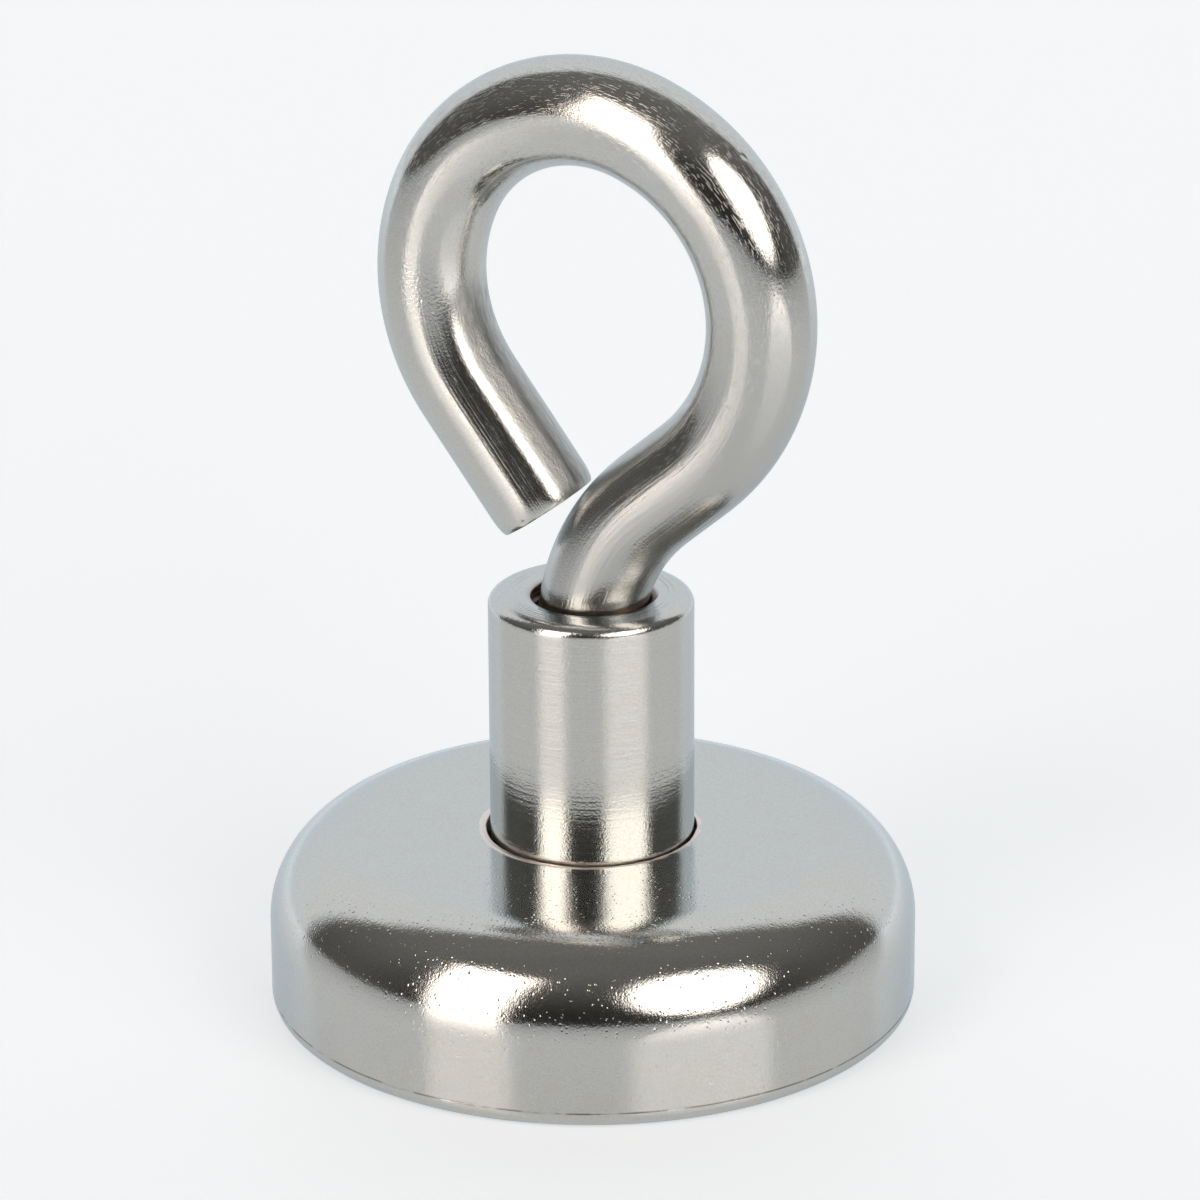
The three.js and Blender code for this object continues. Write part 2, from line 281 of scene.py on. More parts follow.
def pot_shell():
    """The drawn steel cup, with a rounded rim and a small burr standing round its hole."""
    inner = POT_RADIUS - POT_WALL
    ceiling = POT_HEIGHT - POT_TOP_PLATE
    edge = POT_HOLE_EDGE_RADIUS
    rim = POT_RIM_RADIUS
    shoulder = POT_EDGE_RADIUS
    corner = POT_CORNER_FILLET
    lip_outer = POT_HOLE_RADIUS + LIP_WIDTH
    lip_top = POT_HEIGHT + LIP_HEIGHT
    seat_top = ceiling + BUSH_FLANGE_HEIGHT + FLANGE_GAP_ABOVE
    seat_radius = BUSH_FLANGE_RADIUS + FLANGE_GAP_ROUND
    profile = Profile(inner + CUP_MOUTH_CHAMFER, 0)
    profile.line(POT_RADIUS - rim, 0).arc(POT_RADIUS - rim, rim, rim, -90, 0)
    profile.line(POT_RADIUS, rim + 0.12, 0.02)
    profile.line(POT_RADIUS, POT_HEIGHT - shoulder)
    profile.arc(POT_RADIUS - shoulder, POT_HEIGHT - shoulder, shoulder, 0, 90, 40)
    profile.line(lip_outer + 0.08, POT_HEIGHT)
    profile.line(lip_outer - 0.04, lip_top, 0.02)
    profile.line(POT_HOLE_RADIUS + edge, lip_top - LIP_DROP, 0.03)
    profile.arc(POT_HOLE_RADIUS + edge, lip_top - LIP_DROP - edge, edge, 90, 180, 6)
    profile.line(POT_HOLE_RADIUS, seat_top).line(seat_radius, seat_top)
    profile.line(seat_radius, ceiling).line(inner - corner, ceiling)
    profile.arc(inner - corner, ceiling - corner, corner, 90, 0, 6)
    profile.line(inner, CUP_MOUTH_CHAMFER).line(inner + CUP_MOUTH_CHAMFER, 0, 0.03)

    def worn(radius, angle, z):
        # The hole sits a little off the bush, and its burr is uneven. A broken line runs above the rim.
        near = 1 - smoothstep(np.abs(radius - POT_HOLE_RADIUS - LIP_WIDTH / 2), LIP_WIDTH / 2, LIP_WIDTH)
        near = near * smoothstep(z, POT_HEIGHT - 0.3, POT_HEIGHT)
        to_right = np.cos(angle - CAMERA_AZIMUTH)
        shift = -LIP_SHIFT * to_right - (radius - POT_HOLE_RADIUS) * (0.4 + 0.4 * to_right)
        above_line = z - rim - 0.02 * waves(angle, 5, 40, 3) - RIM_LINE_ABOVE
        line = np.exp(-((above_line / RIM_LINE_WIDTH) ** 2)) * (radius > POT_RADIUS - 0.01)
        line = line * smoothstep(waves(angle, 6, 60, 9), -0.5, 0.3)
        radius = radius + near * (shift + 0.012 * waves(angle, 3, 30, 2)) - RIM_LINE_DEPTH * line
        return radius, z + near * 0.006 * waves(angle, 4, 40, 3)

    return lathe("pot_shell_fine", profile, FINE_ROUND, closed=True, reshape=worn)


def threaded_bush():
    """The turned bush: a flange under the pot's top plate, faint rings on its end and a threaded bore."""
    thread_top = BUSH_TOP - BUSH_MOUTH_DEPTH
    flange_top = BUSH_BOTTOM + BUSH_FLANGE_HEIGHT
    edge = BUSH_EDGE
    profile = Profile(AXIS_RADIUS, BUSH_BOTTOM)
    profile.line(BUSH_FLANGE_RADIUS, BUSH_BOTTOM, 1).line(BUSH_FLANGE_RADIUS, flange_top, 1)
    profile.line(BUSH_RADIUS, flange_top).line(BUSH_RADIUS, BUSH_TOP - BUSH_EDGE_DROP, 0.3)
    for turn in np.radians(np.linspace(0, 90, 15))[1:]:
        point = (BUSH_RADIUS - edge * (1 - math.cos(turn)), BUSH_TOP - BUSH_EDGE_DROP * (1 - math.sin(turn)))
        profile.points.append(point)
    face = np.linspace(BUSH_RADIUS - edge, BUSH_MOUTH_RADIUS, 48)[1:-1]
    rings = FACE_RING_DEPTH * (np.sin(2 * math.pi * face / FACE_RING_SPACING) * np.sin(9 * face) - 1)
    profile.points += list(zip(face, BUSH_TOP + rings))
    profile.line(BUSH_MOUTH_RADIUS, BUSH_TOP - FACE_RING_DEPTH, 0.1)
    profile.line(BUSH_LEAD_IN_RADIUS + 0.05, thread_top + 0.04, 0.05)
    steps = math.ceil((thread_top - BUSH_THREAD_BOTTOM) / THREAD_STEP)
    bore = np.linspace(thread_top, BUSH_THREAD_BOTTOM, steps + 1)
    lead_in = (BUSH_LEAD_IN_RADIUS - BUSH_CREST_RADIUS) * smoothstep(bore, BUSH_LEAD_IN_BOTTOM, thread_top)
    profile.points += list(zip(BUSH_CREST_RADIUS + lead_in, bore))
    profile.line(AXIS_RADIUS, BUSH_DRILL_BOTTOM)
    return lathe("threaded_bush_fine", profile, BUSH_ROUND, reshape=bore_radius)


def magnet_disc():
    edge = MAGNET_EDGE
    profile = Profile(AXIS_RADIUS, MAGNET_BOTTOM)
    profile.line(MAGNET_RADIUS - edge, MAGNET_BOTTOM)
    profile.arc(MAGNET_RADIUS - edge, MAGNET_BOTTOM + edge, edge, -90, 0)
    profile.line(MAGNET_RADIUS, MAGNET_TOP - edge)
    profile.arc(MAGNET_RADIUS - edge, MAGNET_TOP - edge, edge, 0, 90)
    profile.line(AXIS_RADIUS, MAGNET_TOP)
    return lathe("magnet_disc_fine", profile, FINE_ROUND)


def potting_ring():
    """Cured epoxy round the disc. Its open face sags between the two walls and is uneven."""
    outer = top_corner("potting_ring").x
    top = top_corner("potting_ring").z
    bottom = bottom_of("potting_ring")
    inner = MAGNET_RADIUS + POT_RADIUS - POT_WALL - outer
    middle = (inner + outer) / 2
    width = outer - inner
    shares = np.linspace(0, 1, 13)
    profile = Profile(inner, bottom)
    sag = EPOXY_SAG * np.sin(math.pi * shares) ** 0.7
    profile.points += [(inner + width * t, bottom + depth) for t, depth in zip(shares[1:], sag[1:])]
    profile.line(outer, top).line(inner, top).line(inner, bottom)

    def uneven(radius, angle, z):
        face = 1 - smoothstep(z, bottom + 0.2, bottom + 0.6)
        face = face * smoothstep(width / 2 - np.abs(radius - middle), 0, 0.1)
        return radius, z + face * (0.05 + 0.05 * waves(angle, 11, 12))

    return lathe("potting_ring_fine", profile, FINE_ROUND, closed=True, reshape=uneven)


def magnet_bond_layer():
    radius = top_corner("magnet_bond_layer").x
    bottom, top = bottom_of("magnet_bond_layer"), top_corner("magnet_bond_layer").z
    profile = Profile(AXIS_RADIUS, bottom)
    profile.line(radius - EPOXY_SPREAD, bottom).line(radius, (bottom + top) / 2, 0.05)
    profile.line(radius - EPOXY_SPREAD, top, 0.05).line(AXIS_RADIUS, top)

    def uneven(radius, angle, z):
        return radius - EPOXY_SPREAD * smoothstep(radius, 8, 9.8) * (1 + waves(angle, 21, 9)) / 2, z

    return lathe("magnet_bond_layer_fine", profile, BUSH_ROUND, reshape=uneven)


def thread_lock_ring():
    """Dried thread-lock compound round the point of the shank."""
    outer = top_corner("thread_lock_ring").x
    bottom, top = bottom_of("thread_lock_ring"), top_corner("thread_lock_ring").z
    inner = LOCK_RING_INNER_RADIUS
    middle = (inner + outer) / 2
    profile = Profile(inner, bottom + 0.1)
    profile.arc(middle, bottom + 0.2, middle - inner, 200, 340, 8)
    profile.line(outer, top - 0.2)
    profile.arc(middle, top - 0.2, middle - inner, 10, 170, 8)
    profile.line(inner, bottom + 0.1)

    def uneven(radius, angle, z):
        high = smoothstep(z, bottom + 0.3, top)
        lowered = z - 0.1 * high * (1 + waves(angle, 32, 5)) / 2
        return radius - 0.04 * (radius > middle) * (1 + waves(angle + z, 31, 6)), lowered

    return lathe("thread_lock_ring_fine", profile, ROD_ROUND, closed=True, reshape=uneven)


def eye_centreline():
    """Lengths, headings and points along the rod, from its point up the shank and round to its open end."""
    stretches = [(BEND_START - POINT_BOTTOM, 0), *EYE_STRETCHES]
    ends = np.cumsum([length for length, _ in stretches])
    along = np.arange(0, ends[-1] + CENTRELINE_STEP / 2, CENTRELINE_STEP)
    window = np.hanning(round(BEND_EASE / CENTRELINE_STEP))

    def eased(values):
        padded = np.pad(values, len(window) // 2, "edge")
        return np.convolve(padded, window / window.sum(), "valid")[: len(along)]

    def summed(slope):
        return np.concatenate([[0], np.cumsum(slope[:-1] * CENTRELINE_STEP)])

    curvatures = np.array([math.radians(turn) / length for length, turn in stretches])
    curvature = eased(curvatures[np.minimum(np.searchsorted(ends, along), len(ends) - 1)])
    heading = math.pi / 2 + summed(curvature)
    x = summed(np.cos(heading))
    z = POINT_BOTTOM + summed(np.sin(heading))
    lengths, slopes = zip(*EYE_LEAN)
    y = summed(eased(np.interp(along, lengths, slopes)))
    # A step out of the plane comes with one aside, so that the outline stays the same from the front.
    x = x - y * math.tan(CAMERA_AZIMUTH)
    z = z - y * math.tan(CAMERA_ELEVATION) / math.cos(CAMERA_AZIMUTH)
    return along, heading, x, y, z


def ridges(s, turn):
    """Share by which the rod's section rises and falls beside its ridges."""
    rise = 0
    for middle, start, end, count, size in EYE_RIDGES:
        off = (turn - math.radians(middle) + math.pi) % (2 * math.pi) - math.pi
        beside = 1 - smoothstep(np.abs(off), math.radians(210 / count), math.radians(420 / count))
        within = smoothstep(s, start - 1.5, start + 1.5) * (1 - smoothstep(s, end - 1.5, end + 1.5))
        rise = rise + size * np.cos(count * off) * beside * within
    return rise


def eye_bolt():
    """One rod: a threaded shank bent into an open eye, cut off square at its end."""
    along, heading, x, y, z = eye_centreline()
    end = along[-1]
    shank = THREAD_TOP + THREAD_FADE - POINT_BOTTOM
    edge = ROD_END_EDGE
    roll = ROD_END_ROLL
    rounding = np.radians(np.linspace(0, 84, 14))[1:]
    stations = np.concatenate([
        np.arange(0, shank, THREAD_STEP),
        np.linspace(shank, end - roll, round((end - roll - shank) / ROD_STEP)),
        end - roll + roll * np.sin(rounding),
        np.full(END_RINGS, end),
    ])
    shrink = np.concatenate([
        np.zeros(len(stations) - len(rounding) - END_RINGS),
        edge * (1 - np.cos(rounding)),
        np.linspace(edge + SUPPORT, ROD_RADIUS - AXIS_RADIUS, END_RINGS),
    ])
    angle = np.linspace(0, 2 * math.pi, ROD_ROUND, endpoint=False)
    s, turn = np.broadcast_arrays(stations[:, None], angle[None, :])
    direction, centre_x, centre_y, centre_z = (np.interp(s, along, values) for values in (heading, x, y, z))
    radius = np.where(s < shank, bolt_radius(turn, s + POINT_BOTTOM), ROD_RADIUS) - shrink[:, None]
    radius = radius * (1 + ridges(s, turn) * (radius > ROD_RADIUS / 2))
    across = radius * np.cos(turn)
    rows = np.stack([
        centre_x + across * np.sin(direction),
        centre_y + radius * np.sin(turn),
        centre_z - across * np.cos(direction),
    ], -1)
    travelled = s + shrink[:, None]
    skin = np.stack([np.cos(turn), np.sin(turn), travelled], -1)
    return skin_mesh("eye_bolt_fine", rows, skin)


# ---- Node trees -------------------------------------------------------------------------------------------


class Shader:
    """Short calls that add nodes to one tree and give back their output sockets."""

    def __init__(self, tree):
        self.tree = tree
        tree.nodes.clear()

    def add(self, kind, values=None, **settings):
        node = self.tree.nodes.new("ShaderNode" + kind)
        for key, value in settings.items():
            setattr(node, key, value)
        for key, value in (values or {}).items():
            if isinstance(value, bpy.types.NodeSocket):
                self.tree.links.new(value, node.inputs[key])
            else:
                node.inputs[key].default_value = value
        return node

    def math(self, operation, *values):
        return self.add("Math", dict(enumerate(values)), operation=operation).outputs[0]

    def total(self, *values):
        sum_so_far = values[0]
        for value in values[1:]:
            sum_so_far = self.math("ADD", sum_so_far, value)
        return sum_so_far

    def vector(self, operation, *values):
        node = self.add("VectorMath", dict(enumerate(values)), operation=operation)
        return node.outputs["Value" if operation in ("DOT_PRODUCT", "LENGTH") else "Vector"]

    def ramp(self, value, low, high):
        """0 below low and 1 above high, or the other way round if low is the higher, with soft ends."""
        values = {"Value": value, "From Min": min(low, high), "From Max": max(low, high)}
        if low > high:
            values.update({"To Min": 1.0, "To Max": 0.0})
        return self.add("MapRange", values, interpolation_type="SMOOTHSTEP").outputs["Result"]

    def band(self, value, low, high, soft):
        """1 between low and high and 0 outside them, over a soft edge."""
        rise = self.ramp(value, low - soft, low + soft)
        fall = self.ramp(value, high + soft, high - soft)
        return self.math("MULTIPLY", rise, fall)

    def noise(self, vector, scale=1.0, detail=2.0, roughness=0.5):
        """Noise about 0, between -0.5 and 0.5."""
        values = {"Vector": vector, "Scale": scale, "Detail": detail, "Roughness": roughness}
        return self.math("SUBTRACT", self.add("TexNoise", values).outputs["Fac"], 0.5)

    def scaled(self, value, factor, offset=0.0):
        return self.math("MULTIPLY_ADD", value, factor, offset)

    def mix(self, share, first, second):
        return self.add("Mix", {0: share, 6: first, 7: second}, data_type="RGBA").outputs[2]

    def separate(self, vector):
        return self.add("SeparateXYZ", {0: vector}).outputs


def stretched(shader, across, along):
    """The skin attribute, scaled so that noise has so many features round the piece, of a length along it."""
    skin = shader.add("Attribute", attribute_name="skin").outputs["Vector"]
    return shader.vector("MULTIPLY", skin, (across, across, 1 / along))


def scale_vector(shader, vector, factor):
    node = shader.add("VectorMath", {0: vector, "Scale": factor}, operation="SCALE")
    return node.outputs["Vector"]


def place_mm(shader):
    """The point on the piece in millimetres, in the piece's own frame."""
    return scale_vector(shader, shader.add("TexCoord").outputs["Object"], 1 / MM)


def axis_distance(shader, place):
    return shader.vector("LENGTH", shader.vector("MULTIPLY", place, (1, 1, 0)))


def finished(name, build, **constants):
    """A material whose colour, roughness and height in millimetres come from build(shader)."""
    material = bpy.data.materials.new(name)
    material.use_nodes = True
    shader = Shader(material.node_tree)
    colour, roughness, height = build(shader)
    bump = shader.add("Bump", {"Height": height, "Distance": MM})
    values = {"Base Color": colour, "Roughness": roughness, "Normal": bump.outputs[0]}
    surface = shader.add("BsdfPrincipled", {**values, **constants})
    shader.add("OutputMaterial", {"Surface": surface.outputs[0]})
    return material


METAL = {"Metallic": 1.0, "Specular Tint": (0.80, 0.88, 0.95, 1)}
NICKEL = (0.655, 0.66, 0.638, 1)
NICKEL_WARM = (0.66, 0.65, 0.615, 1)
NICKEL_DULL = (0.575, 0.575, 0.555, 1)
# Darker nickel in patches on the rough rubbed zone at the eye's end, a painted reflection of the dark room.
WORN_NICKEL_PAINTED_DARK = (0.44, 0.45, 0.45, 1)
LIP_COLOUR = (0.96, 0.87, 0.81, 1)
# Dark colour for thin arcs on the bush's end face, and painted shade in the groove above the pot's rim.
DARK_ARCS_AND_PAINTED_SHADE = (0.16, 0.13, 0.11, 1)
# Painted shade inside the bore's mouth round the rod.
BORE_PAINTED_SHADE = (0.34, 0.25, 0.20, 1)


def spots(shader, place, per_mm, reach, share):
    """Round spots, 1 in their middle, in a share of the cells of a mesh of so many cells per millimetre."""
    cells = shader.add("TexVoronoi", {"Vector": place, "Scale": per_mm}).outputs
    chosen = shader.ramp(shader.separate(cells["Color"])[0], 1 - share - 0.02, 1 - share + 0.02)
    return shader.math("MULTIPLY", shader.ramp(cells["Distance"], reach, 0.0), chosen)


def speckled(shader, place, colour):
    """The colour, a few percent lighter and darker from point to point."""
    return scale_vector(shader, colour, shader.scaled(shader.noise(place, scale=13, detail=1), 0.26, 1.0))


def mark(shader, length, angle, reach):
    """A round mark on the rod, 1 in its middle, at a length along it and an angle round it in degrees."""
    skin = shader.add("Attribute", attribute_name="skin").outputs["Vector"]
    turn = math.radians(angle)
    away = shader.vector("SUBTRACT", skin, (math.cos(turn), math.sin(turn), length))
    distance = shader.vector("LENGTH", shader.vector("MULTIPLY", away, (ROD_RADIUS, ROD_RADIUS, 1)))
    return shader.ramp(distance, reach, 0.0)


def beside_line(shader, angle, reach):
    """1 along a line down the rod at an angle round it, falling to 0 beside it, in degrees."""
    skin = shader.add("Attribute", attribute_name="skin").outputs["Vector"]
    turn = math.radians(angle)
    closeness = shader.vector("DOT_PRODUCT", skin, (math.cos(turn), math.sin(turn), 0))
    return shader.ramp(closeness, math.cos(math.radians(reach)), math.cos(math.radians(reach / 2)))


def pot_finish(shader):
    """Bright nickel on drawn steel: a fine grain, small pits, thin plating on the burr round the hole, and
    painted shade in a broken line above the rim.
    """
    place = place_mm(shader)
    radius = axis_distance(shader, place)
    z = shader.separate(place)[2]
    grain = shader.noise(place, scale=12, detail=2, roughness=0.6)
    drawn = shader.noise(stretched(shader, 70, 0.22), detail=1)
    swell = shader.noise(place, scale=1.3, detail=1)
    dents = shader.total(spots(shader, place, 2.4, 0.2, 0.25), spots(shader, place, 5.0, 0.32, 0.5))
    shoulder = shader.band(radius, 9.2, 12.9, 0.9)
    raised = shader.ramp(z, POT_HEIGHT + 0.004, POT_HEIGHT + 0.014)
    in_hole = shader.math("MULTIPLY", shader.ramp(radius, 4.2, 4.16), shader.ramp(z, 6.0, 6.6))
    lip = shader.math("MAXIMUM", raised, in_hole)
    height = shader.total(
        shader.math("MULTIPLY", grain, shader.scaled(shoulder, 0.0008, 0.0034)),
        shader.math("MULTIPLY", drawn, shader.scaled(shoulder, 0.0018, 0.0006)),
        shader.scaled(swell, 0.004),
        shader.scaled(dents, -0.0075),
        shader.math("MULTIPLY", lip, shader.scaled(shader.noise(place, scale=9, detail=3), 0.03)),
    )
    mottle = shader.noise(place, scale=0.9, detail=4)
    colour = speckled(shader, place, shader.mix(shader.ramp(mottle, -0.2, 0.25), NICKEL, NICKEL_WARM))
    colour = shader.mix(lip, colour, LIP_COLOUR)
    # Painted shade: a thin, broken dark line along the groove just above the rounded rim.
    line = shader.math("MULTIPLY", shader.band(z, POT_RIM_RADIUS + 0.01, POT_RIM_RADIUS + 0.07, 0.03),
                       shader.ramp(shader.noise(stretched(shader, 9, 5), detail=3), -0.12, 0.02))
    line = shader.math("MULTIPLY", line, shader.ramp(radius, POT_RADIUS - 0.2, POT_RADIUS - 0.1))
    colour = shader.mix(shader.scaled(line, 0.75), colour, DARK_ARCS_AND_PAINTED_SHADE)
    roughness = shader.total(
        shader.scaled(shader.noise(place, scale=2.5, detail=3), 0.08, 0.115),
        shader.scaled(grain, 0.1),
        shader.scaled(lip, 0.3),
    )
    return colour, roughness, height


def bush_finish(shader):
    """Nickel over tool marks that run round the bush and its end face, with painted shade inside the mouth of
    its bore.
    """
    place = place_mm(shader)
    brushing = shader.noise(stretched(shader, 1.5, 0.06), detail=3, roughness=0.6)
    tool_marks = shader.noise(stretched(shader, 0.4, 0.15), detail=1)
    grain = shader.noise(place, scale=11, detail=2, roughness=0.6)
    radius = axis_distance(shader, place)
    rings = shader.math("SINE", shader.scaled(radius, 40))
    turned = shader.math("MULTIPLY", rings, shader.band(radius, 2.85, 3.3, 0.1))
    height = shader.total(
        shader.scaled(brushing, 0.0006),
        shader.scaled(tool_marks, 0.0065),
        shader.scaled(grain, 0.0085),
        shader.scaled(turned, 0.0016),
        shader.scaled(spots(shader, place, 3.0, 0.3, 0.3), -0.003),
    )
    mottle = shader.noise(place, scale=1.2, detail=4)
    colour = speckled(shader, place, shader.mix(shader.ramp(mottle, -0.25, 0.25), NICKEL, NICKEL_WARM))
    # Two thin dark arcs on the end face, broken up by noise.
    arcs = shader.total(shader.band(radius, 2.97, 3.03, 0.03), shader.band(radius, 3.18, 3.22, 0.03))
    arc_breaks = shader.ramp(shader.noise(stretched(shader, 1.3, 4), detail=3), -0.06, 0.1)
    colour = shader.mix(shader.scaled(shader.math("MULTIPLY", arcs, arc_breaks), 0.3), colour, DARK_ARCS_AND_PAINTED_SHADE)
    # Painted shade: dark brown inside the bore's mouth, round the rod. The surface is also rougher there.
    within = shader.math("MULTIPLY", shader.ramp(radius, 2.75, 2.5),
                         shader.ramp(shader.separate(place)[2], BUSH_TOP - 0.03, BUSH_TOP - 0.15))
    colour = shader.mix(within, colour, BORE_PAINTED_SHADE)
    roughness = shader.total(shader.scaled(brushing, 0.12, 0.135), shader.scaled(within, 0.3))
    return colour, roughness, height


def eye_finish(shader):
    """Nickel over drawn wire: long draw lines and scratches, a grain, and marks from the bending tool. A
    rubbed zone near the open end is rougher, and painted darker as a painted reflection of the dark room.
    """
    place = place_mm(shader)
    lines = shader.noise(stretched(shader, 18, 1.6), detail=2, roughness=0.6)
    streaks = shader.noise(stretched(shader, 52, 0.34), detail=1)
    hairlines = shader.noise(stretched(shader, 60, 1.2), detail=1)
    grain = shader.noise(place, scale=11, detail=2, roughness=0.6)
    along = shader.separate(shader.add("Attribute", attribute_name="skin").outputs["Vector"])[2]
    gripped = shader.total(shader.ramp(along, 42, 47), shader.ramp(along, 19, 15))
    end_part = shader.ramp(along, 45.5, 47.5)
    pulled = shader.math("MULTIPLY", end_part, beside_line(shader, -110, 16))
    bruised = shader.math("MULTIPLY", shader.band(along, 45.2, 47.6, 0.6), beside_line(shader, -104, 34))
    # A rubbed zone at the end: rougher and grainier, and painted darker below.
    rubbed_and_painted_dark = shader.math("MULTIPLY", end_part, beside_line(shader, -169, 38))
    pull_lines = shader.noise(stretched(shader, 26, 9.0), detail=1)
    drag_lines = shader.noise(stretched(shader, 17, 2.4), detail=2)
    neck = shader.ramp(along, 20, 16)
    dragged = shader.ramp(along, 26, 19)
    pull_depth = shader.total(shader.scaled(pulled, 0.012), shader.scaled(neck, 0.004))
    height = shader.total(
        shader.scaled(lines, 0.0028),
        shader.math("MULTIPLY", shader.ramp(streaks, 0.06, 0.22), shader.scaled(gripped, 0.0016, -0.0026)),
        shader.scaled(hairlines, 0.0008),
        shader.math("MULTIPLY", grain, shader.scaled(gripped, 0.003, 0.0034)),
        shader.math("MULTIPLY", pull_lines, pull_depth),
        shader.math("MULTIPLY", drag_lines, shader.scaled(dragged, 0.011)),
        shader.math("MULTIPLY", shader.noise(place, scale=8, detail=2), shader.scaled(bruised, 0.014)),
        shader.math("MULTIPLY", grain, shader.scaled(rubbed_and_painted_dark, 0.010)),
        shader.scaled(spots(shader, place, 2.6, 0.3, 0.25), -0.0025),
        *(shader.scaled(mark(shader, *place_and_reach), -depth) for *place_and_reach, depth in EYE_MARKS),
    )
    mottle = shader.noise(place, scale=0.8, detail=4)
    colour = speckled(shader, place, shader.mix(shader.ramp(mottle, -0.2, 0.25), NICKEL, NICKEL_WARM))
    colour = shader.mix(dragged, colour, NICKEL_DULL)
    # Painted reflection: patches of darker nickel on the rough rubbed zone stand for the dark room it
    # reflects.
    patches = shader.ramp(shader.noise(stretched(shader, 16, 0.9), detail=3), -0.2, 0.2)
    worn_and_painted_dark = shader.math("MULTIPLY", rubbed_and_painted_dark, patches)
    colour = shader.mix(worn_and_painted_dark, colour, WORN_NICKEL_PAINTED_DARK)
    roughness = shader.total(
        shader.scaled(shader.noise(place, scale=1.6, detail=3), 0.08, 0.125),
        shader.scaled(gripped, 0.05),
        shader.scaled(rubbed_and_painted_dark, 0.20),
        shader.scaled(dragged, 0.045),
    )
    return colour, roughness, height


def magnet_finish(shader):
    """Plated magnet face, with the fine arcs and scratches of use."""
    place = place_mm(shader)
    grain = shader.noise(place, scale=9, detail=3)
    arcs = shader.noise(stretched(shader, 2, 0.05), detail=3)
    rubs = shader.noise(shader.vector("MULTIPLY", place, (0.5, 14, 1)), detail=2)
    height = shader.total(
        shader.scaled(grain, 0.002),
        shader.scaled(arcs, 0.0008),
        shader.scaled(rubs, 0.0012),
    )
    colour = shader.mix(shader.ramp(shader.noise(place, scale=0.4, detail=4), -0.2, 0.2), NICKEL, NICKEL_DULL)
    roughness = shader.scaled(grain, 0.15, 0.26)
    return colour, roughness, height


def epoxy_finish(shader):
    place = place_mm(shader)
    cloud = shader.noise(place, scale=1.2, detail=4)
    bubbles = shader.add("TexVoronoi", {"Vector": place, "Scale": 2.2}).outputs["Distance"]
    height = shader.total(shader.scaled(cloud, 0.03), shader.scaled(shader.ramp(bubbles, 0.12, 0.02), -0.02))
    colour = shader.mix(shader.ramp(cloud, -0.2, 0.2), (0.030, 0.031, 0.033, 1), (0.060, 0.058, 0.055, 1))
    roughness = shader.scaled(cloud, 0.3, 0.35)
    return colour, roughness, height


def thread_lock_finish(shader):
    place = place_mm(shader)
    cloud = shader.noise(place, scale=3, detail=4)
    colour = shader.mix(shader.ramp(cloud, -0.2, 0.2), (0.02, 0.06, 0.30, 1), (0.05, 0.12, 0.42, 1))
    return colour, shader.scaled(cloud, 0.3, 0.4), shader.scaled(cloud, 0.03)


# ---- Studio -----------------------------------------------------------------------------------------------

CAMERA_AZIMUTH = math.radians(22.86)
CAMERA_ELEVATION = math.radians(21.168)
CAMERA_DISTANCE = 238.125 * MM
CAMERA_TARGET = Vector((0, 0, 15.875 * MM))
CAMERA_ROLL = math.radians(-0.299)
CAMERA_LENS = 184.50
AIM_RIGHT = 0.346 * MM
AIM_UP = 0.648 * MM

LEFT_BOX_RADIANCE = (2.85, 2.57, 2.34)
RIGHT_BOX_RADIANCE = (2.55, 2.36, 2.18)
BACKDROP_RADIANCE = (0.805, 0.817, 0.83)
# Azimuth and elevation of each box in degrees, and its reach from there.
LEFT_BOX_PLACE = (-45.2, 25)
LEFT_BOX_HALF_WIDTH = 0.251
LEFT_BOX_DROP = math.tan(math.radians(30))
LEFT_BOX_RISE = math.tan(math.radians(29.5))
RIGHT_BOX_PLACE = (39.5, 29)
RIGHT_BOX_SPREAD = 23.6
# What the camera sees behind the table, in place of the dark room.
PAPER_RADIANCE = (0.98, 0.98, 0.98)
BELOW_TABLE_RADIANCE = (0.6, 0.6, 0.6)
ROOM_COLOUR = (1.03, 1.0, 0.95)
TABLE_COLOUR = (0.62, 0.64, 0.66, 1)
TABLE_GLOW_COLOUR = (0.965, 1.0, 1.03, 1)
TABLE_GLOW = 0.282
TABLE_SEEN_GLOW = 0.21
TABLE_SEEN_ROUGHNESS = 0.5
TABLE_RADIUS = 1.8
TABLE_ROUND = 96
TABLE_GAP = 0.02 * MM


def studio_axes(azimuth, elevation):
    """Forward, right and up of something seen at an azimuth to the right of the camera, in degrees."""
    a, e = math.radians(azimuth), math.radians(elevation)
    toward = Vector((math.sin(CAMERA_AZIMUTH), -math.cos(CAMERA_AZIMUTH), 0))
    side = Vector((math.cos(CAMERA_AZIMUTH), math.sin(CAMERA_AZIMUTH), 0))
    level = toward * math.cos(a) + side * math.sin(a)
    forward = level * math.cos(e) + Vector((0, 0, math.sin(e)))
    right = side * math.cos(a) - toward * math.sin(a)
    return forward, right, right.cross(forward) * -1


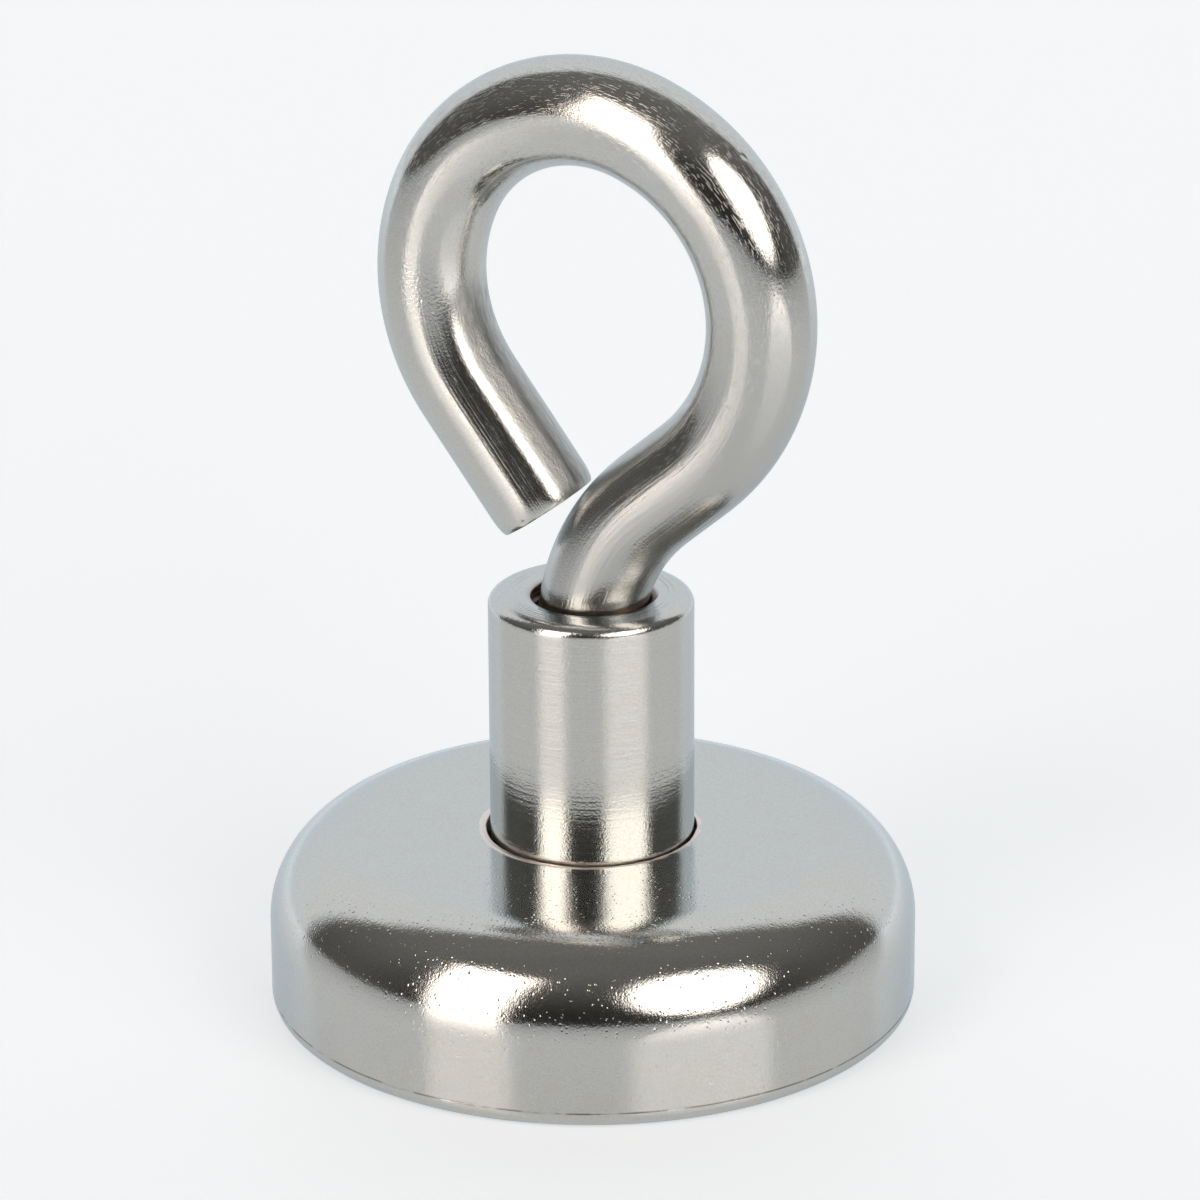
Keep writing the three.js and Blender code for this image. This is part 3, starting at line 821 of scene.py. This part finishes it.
def camera():
    """A long lens at the picture's angle, aimed a little right of and above the middle of the part."""
    a, e = CAMERA_AZIMUTH, CAMERA_ELEVATION
    back = Vector((math.sin(a) * math.cos(e), -math.cos(a) * math.cos(e), math.sin(e)))
    level_right = Vector((math.cos(a), math.sin(a), 0))
    place = CAMERA_TARGET + back * CAMERA_DISTANCE
    aim = CAMERA_TARGET + level_right * AIM_RIGHT + back.cross(level_right) * AIM_UP
    away = (aim - place).normalized()
    right = away.cross(Vector((0, 0, 1))).normalized()
    up = right.cross(away)
    rolled_right = right * math.cos(CAMERA_ROLL) + up * math.sin(CAMERA_ROLL)
    rolled_up = rolled_right.cross(away)
    data = bpy.data.cameras.new("camera")
    data.sensor_width = 36
    data.lens = CAMERA_LENS
    data.clip_start, data.clip_end = 0.01, 10
    made = bpy.data.objects.new("camera", data)
    bpy.context.scene.collection.objects.link(made)
    turn = Matrix((rolled_right, rolled_up, -away)).transposed().to_4x4()
    made.matrix_world = Matrix.Translation(place) @ turn
    bpy.context.scene.camera = made


def studio_light():
    """A dark room with a flat soft box to the left, a round one to the right and a white backdrop behind."""
    world = bpy.data.worlds.new("studio")
    world.use_nodes = True
    bpy.context.scene.world = world
    shader = Shader(world.node_tree)
    direction = shader.add("TexCoord").outputs["Generated"]
    toward, right, _ = (shader.vector("DOT_PRODUCT", direction, tuple(axis)) for axis in studio_axes(0, 0))
    up = shader.separate(direction)[2]
    azimuth = shader.math("DEGREES", shader.math("ARCTAN2", right, toward))
    elevation = shader.math("DEGREES", shader.math("ARCSINE", up))

    side = shader.ramp(shader.math("ABSOLUTE", azimuth), 50, 95)
    level = shader.total(
        shader.scaled(shader.ramp(elevation, 8, 75), 0.135, 0.026),
        shader.math("MULTIPLY", side, shader.scaled(shader.ramp(elevation, 70, 20), 0.05, 0.02)),
    )
    room = scale_vector(shader, ROOM_COLOUR, level)

    behind = shader.math("MAXIMUM", shader.math("MULTIPLY", toward, -1.0), 0.001)
    spread = shader.math("DIVIDE", shader.math("ABSOLUTE", right), behind)
    rise = shader.math("DIVIDE", up, behind)
    backdrop = shader.math("MULTIPLY", shader.ramp(spread, 1.9, 1.7), shader.ramp(rise, 2.6, 2.05))

    forward, across, upright = (
        shader.vector("DOT_PRODUCT", direction, tuple(axis)) for axis in studio_axes(*LEFT_BOX_PLACE))
    front = shader.math("MAXIMUM", forward, 0.05)
    left_box = shader.math("MULTIPLY",
        shader.band(shader.math("DIVIDE", across, front), -LEFT_BOX_HALF_WIDTH, LEFT_BOX_HALF_WIDTH, 0.012),
        shader.band(shader.math("DIVIDE", upright, front), -LEFT_BOX_DROP, LEFT_BOX_RISE, 0.012))
    left_box = shader.math("MULTIPLY", left_box, shader.ramp(forward, 0.05, 0.2))
    facing = shader.vector("DOT_PRODUCT", direction, tuple(studio_axes(*RIGHT_BOX_PLACE)[0]))
    off_axis = shader.math("DEGREES", shader.math("ARCCOSINE", facing))
    right_box = shader.ramp(off_axis, RIGHT_BOX_SPREAD + 0.8, RIGHT_BOX_SPREAD - 0.8)

    colour = shader.mix(backdrop, room, (*BACKDROP_RADIANCE, 1))
    colour = shader.mix(left_box, colour, (*LEFT_BOX_RADIANCE, 1))
    colour = shader.mix(right_box, colour, (*RIGHT_BOX_RADIANCE, 1))
    colour = shader.mix(shader.ramp(elevation, 0, -0.5), colour, (*BELOW_TABLE_RADIANCE, 1))
    seen = shader.add("LightPath").outputs["Is Camera Ray"]
    colour = shader.mix(seen, colour, (*PAPER_RADIANCE, 1))
    background = shader.add("Background", {"Color": colour, "Strength": 1.0})
    shader.add("OutputWorld", {"Surface": background.outputs[0]})


def table_top():
    """A white sheet under the part, glossy in the part's reflections and matt where the camera sees it."""
    angle = np.linspace(0, 2 * math.pi, TABLE_ROUND, endpoint=False)
    edge = [(TABLE_RADIUS * math.cos(t), TABLE_RADIUS * math.sin(t), -TABLE_GAP) for t in angle]
    mesh = bpy.data.meshes.new("table_top")
    mesh.from_pydata(edge, [], [list(range(TABLE_ROUND))])
    floor = bpy.data.objects.new("table_top", mesh)
    bpy.context.scene.collection.objects.link(floor)
    material = bpy.data.materials.new("white_acrylic")
    material.use_nodes = True
    shader = Shader(material.node_tree)
    cloud = shader.noise(shader.add("TexCoord").outputs["Object"], scale=30, detail=2)
    seen = shader.add("LightPath").outputs["Is Camera Ray"]
    values = {
        "Base Color": TABLE_COLOUR,
        "Roughness": shader.total(shader.scaled(cloud, 0.02, 0.1), shader.scaled(seen, TABLE_SEEN_ROUGHNESS)),
        "IOR": 1.5,
        "Specular IOR Level": 0.45,
        "Emission Color": TABLE_GLOW_COLOUR,
        "Emission Strength": shader.scaled(seen, TABLE_SEEN_GLOW, TABLE_GLOW),
    }
    surface = shader.add("BsdfPrincipled", values)
    shader.add("OutputMaterial", {"Surface": surface.outputs[0]})
    mesh.materials.append(material)


# ---- Assembly ---------------------------------------------------------------------------------------------

PIECES = [
    (pot_shell, "pot", "pot_shell", "pot_nickel", pot_finish, METAL),
    (threaded_bush, "pot", "threaded_bush", "bush_nickel", bush_finish, METAL),
    (magnet_disc, "pot", "magnet_disc", "magnet_nickel", magnet_finish, METAL),
    (potting_ring, "pot", "potting_ring", "epoxy", epoxy_finish, {}),
    (magnet_bond_layer, "pot", "magnet_bond_layer", "epoxy", epoxy_finish, {}),
    (thread_lock_ring, "thread_carrier", "thread_lock_ring", "thread_lock", thread_lock_finish, {}),
    (eye_bolt, "eye", "eye_bolt", "eye_nickel", eye_finish, METAL),
]

bpy.context.scene.view_settings.view_transform = "Standard"
camera()
studio_light()
table_top()
for make, body, node, slot, finish, constants in PIECES:
    piece = make()
    piece.data.materials.append(finished(node + "_finish", finish, **constants))
    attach(piece, body)
    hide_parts(node)
